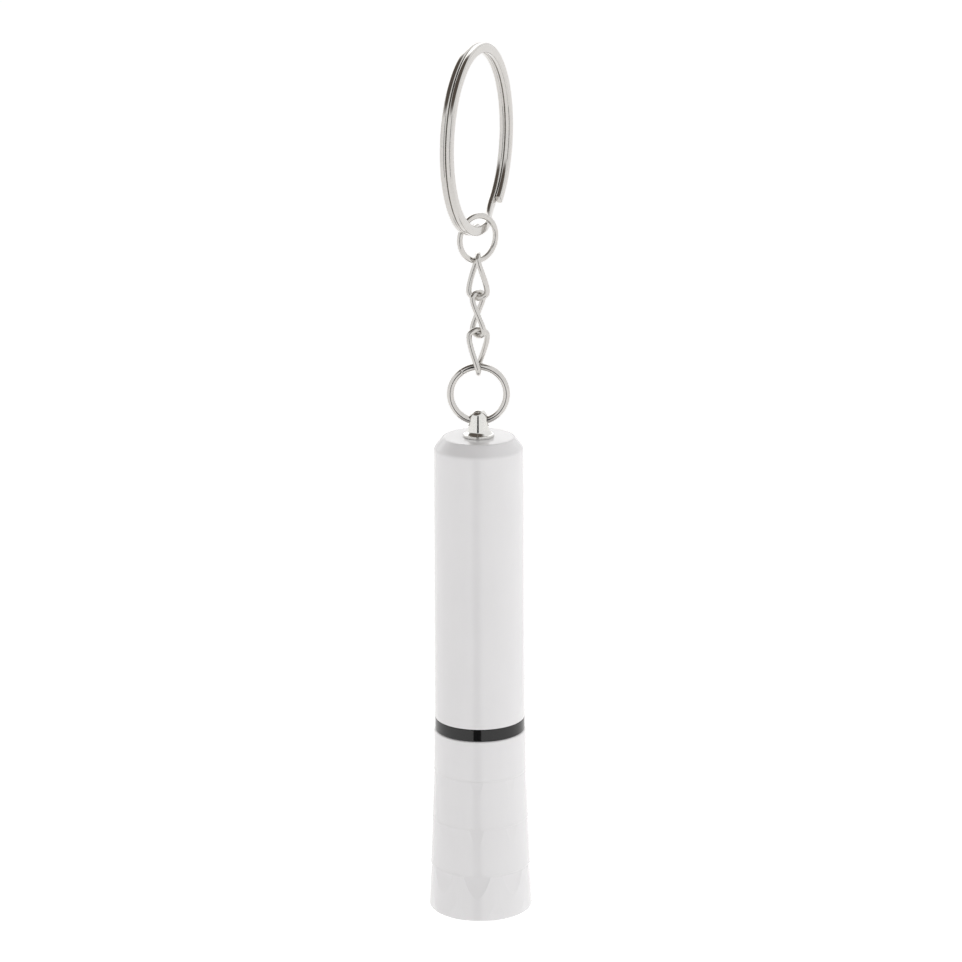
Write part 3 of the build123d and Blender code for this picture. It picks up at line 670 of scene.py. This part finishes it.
# ---- Lens ------------------------------------------------------------------------------------------
# Flat window moulded in clear acrylic, with its edge broken so that it drops into its seat.
LENS_R = 7.33
LENS_END = 77.25
LENS_BREAK = 0.15
acrylic, tree, shader = new_material("clear_acrylic_window", IOR=1.49, Transmission_Weight=1.0)
place = add_node(tree, "ShaderNodeTexCoord").outputs["Object"]
shader.inputs["Base Color"].default_value = linear("#fbfcfc")
rough_and_bump(tree, shader, place, 2.5, (0.0, 0.03), 1.5, 0.0004)
bm = lathe([(0, LENS_TOP), (LENS_R, LENS_TOP), (LENS_R, LENS_END), (0, LENS_END)],
           ((1, LENS_BREAK, 3), (2, LENS_BREAK, 3)))
lens = make_piece("lens_window", bm, acrylic)
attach(lens, "head")
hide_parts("lens")

# ---- Bezel ring ------------------------------------------------------------------------------------
# White ABS ring pressed into the front of the head, chamfered inwards, that keeps the lens in.
BEZEL = [(6.35, 77.27), (7.35, 77.27), (7.35, 78.77), (6.75, 78.77), (6.35, 77.97)]
BEZEL_ROUNDS = ((3, 0.15, 3), (4, 0.1, 3))
bezel = make_piece("bezel_ring_press", lathe(BEZEL, BEZEL_ROUNDS), white_abs, sharp=30)
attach(bezel, "head")
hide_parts("bezel_ring")

# ---- Studio ----------------------------------------------------------------------------------------
# The light hangs a metre above a plain white floor in a bright tent. The tent's roof has a dark opening,
# which gives bright metal its dark tops, and a dark flag behind the camera draws a line down the middle.
FLOOR_DROP = 1.0
FLOOR_R = 30.0
FLOOR_GLOW = 0.42                # the floor is translucent and lit a little from below
CAMERA_HEADING = 19
TENT = "#ffffff"
OPENING = "#625b55"
OPENING_AT = (-0.25, -0.02, 0.9) # right, away from the camera, up
OPENING_EDGE = (0.64, 0.86)      # cosines of the angles where it starts and is full
SHOWN = (1.2, 1.2, 1.2, 1)       # the tent as the camera sees it past the floor's edge
FLAG = (0.46, 1.9)               # metres
FLAG_AT = (-0.16, -1.3, 0)       # right, away from the camera, up
SOFTBOX = (2.4, 1.4)
SOFTBOX_AT = (-0.5, 1.6, 0.95)
SOFTBOX_AIM = (0, 0, -0.07)      # near the middle of the light
SOFTBOX_WATTS = 8

floor_mat, tree, shader = new_material("matt_white_floor_paint", IOR=1.45)
place = add_node(tree, "ShaderNodeTexCoord").outputs["Object"]
shader.inputs["Base Color"].default_value = linear("#fbfbfb")
shader.inputs["Emission Color"].default_value = linear("#ffffff")
shader.inputs["Emission Strength"].default_value = FLOOR_GLOW
rough_and_bump(tree, shader, place, 400, (0.8, 0.9), 30, 0.2)
bm = bmesh.new()
bmesh.ops.create_circle(bm, cap_ends=True, segments=96, radius=FLOOR_R)
bmesh.ops.translate(bm, verts=bm.verts, vec=(0, 0, -FLOOR_DROP))
floor = make_piece("floor", bm, floor_mat)

front = Matrix.Rotation(radians(CAMERA_HEADING), 4, "Z")
flag_mat, tree, shader = new_material("black_felt_flag")
shader.inputs["Base Color"].default_value = linear("#262627")
bm = bmesh.new()
bmesh.ops.create_grid(bm, x_segments=1, y_segments=1, size=0.5)
bmesh.ops.scale(bm, verts=bm.verts, vec=(*FLAG, 1))
bmesh.ops.rotate(bm, verts=bm.verts, cent=(0, 0, 0), matrix=Matrix.Rotation(pi / 2, 3, "X"))
bmesh.ops.translate(bm, verts=bm.verts, vec=FLAG_AT)
bmesh.ops.transform(bm, matrix=front, verts=bm.verts)
flag = make_piece("flag", bm, flag_mat)
flag.visible_camera = False

world = bpy.data.worlds.new("tent")
bpy.context.scene.world = world
world.use_nodes = True
tree = world.node_tree
sky = tree.nodes["Background"]
toward = add_node(tree, "ShaderNodeTexCoord").outputs["Generated"]
turned = add_node(tree, "ShaderNodeMapping", {"Rotation": (0, 0, radians(-CAMERA_HEADING))}, Vector=toward)
upward = Vector(OPENING_AT).normalized()
facing = add_node(tree, "ShaderNodeVectorMath", {"operation": "DOT_PRODUCT", 1: upward},
                  i0=turned.outputs["Vector"])
gap = add_node(tree, "ShaderNodeMapRange", {"interpolation_type": "SMOOTHSTEP", 1: OPENING_EDGE[0],
                                            2: OPENING_EDGE[1]}, Value=facing.outputs["Value"])
cloth = add_node(tree, "ShaderNodeMix", {"data_type": "RGBA", 6: linear(TENT), 7: linear(OPENING)},
                 i0=gap.outputs[0])
seen = add_node(tree, "ShaderNodeLightPath").outputs["Is Camera Ray"]
shown = add_node(tree, "ShaderNodeMix", {"data_type": "RGBA", 7: SHOWN}, i0=seen,
                 i6=cloth.outputs[2])
tree.links.new(shown.outputs[2], sky.inputs["Color"])

softbox = bpy.data.lights.new("softbox_over_back", "AREA")
softbox.shape = "RECTANGLE"
softbox.size, softbox.size_y = SOFTBOX
softbox.energy = SOFTBOX_WATTS
softbox_at = bpy.data.objects.new("softbox_over_back", softbox)
bpy.context.scene.collection.objects.link(softbox_at)
softbox_place = front @ Vector(SOFTBOX_AT)
softbox_at.location = softbox_place
softbox_at.rotation_euler = (Vector(SOFTBOX_AIM) - softbox_place).to_track_quat("-Z", "Y").to_euler()

# ---- Camera ----------------------------------------------------------------------------------------
# Long lens, a little above the light and looking down at it.
CAMERA_OFF = 0.5699
CAMERA_Z = 0.1484                # over the tail face
CAMERA_TURN = -0.035             # degrees left or right of the hanging line
CAMERA_DOWN = 15.285
CAMERA_ROLL = -0.25
SENSOR, LENS = 36, 138.9
camera_data = bpy.data.cameras.new("camera")
camera_data.sensor_width = SENSOR
camera_data.lens = LENS
camera_data.clip_start = 0.05
camera_data.clip_end = 100
camera = bpy.data.objects.new("camera", camera_data)
bpy.context.scene.collection.objects.link(camera)
aim = (Matrix.Rotation(radians(CAMERA_HEADING + CAMERA_TURN), 4, "Z")
       @ Matrix.Rotation(radians(90 - CAMERA_DOWN), 4, "X") @ Matrix.Rotation(radians(CAMERA_ROLL), 4, "Z"))
camera.matrix_world = Matrix.Translation(front @ Vector((0, -CAMERA_OFF, tail_z + CAMERA_Z))) @ aim
bpy.context.scene.camera = camera
bpy.context.scene.view_settings.view_transform = "Standard"
